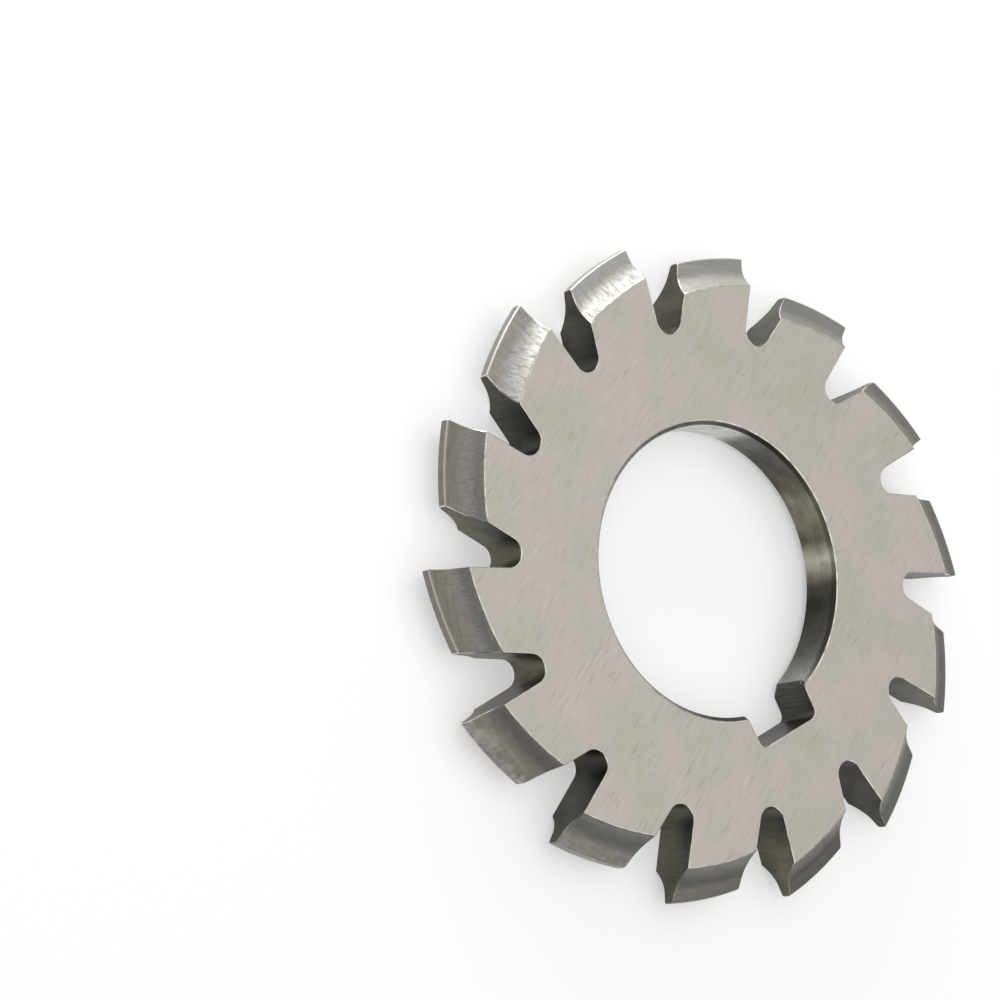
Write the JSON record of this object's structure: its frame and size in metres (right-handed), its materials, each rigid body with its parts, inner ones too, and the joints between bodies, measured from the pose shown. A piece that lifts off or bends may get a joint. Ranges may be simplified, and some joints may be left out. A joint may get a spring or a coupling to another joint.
{
  "type": "involute gear cutter",
  "caption": "Disc milling cutter with form-relieved teeth for cutting small spur gears, with a keyed arbor bore.",
  "frame": {"origin": "centre of the bore on the lower side face", "axes": "+Z along the bore axis and up, away from the surface the cutter lies on; +Y toward the keyway"},
  "size_m": [0.05, 0.049, 0.004],
  "materials": {
    "steel": "fine ground tool steel, darker where it is milled and relieved"
  },
  "bodies": {
    "root": {"gear_cutter": "steel"}
  },
  "joints": []
}
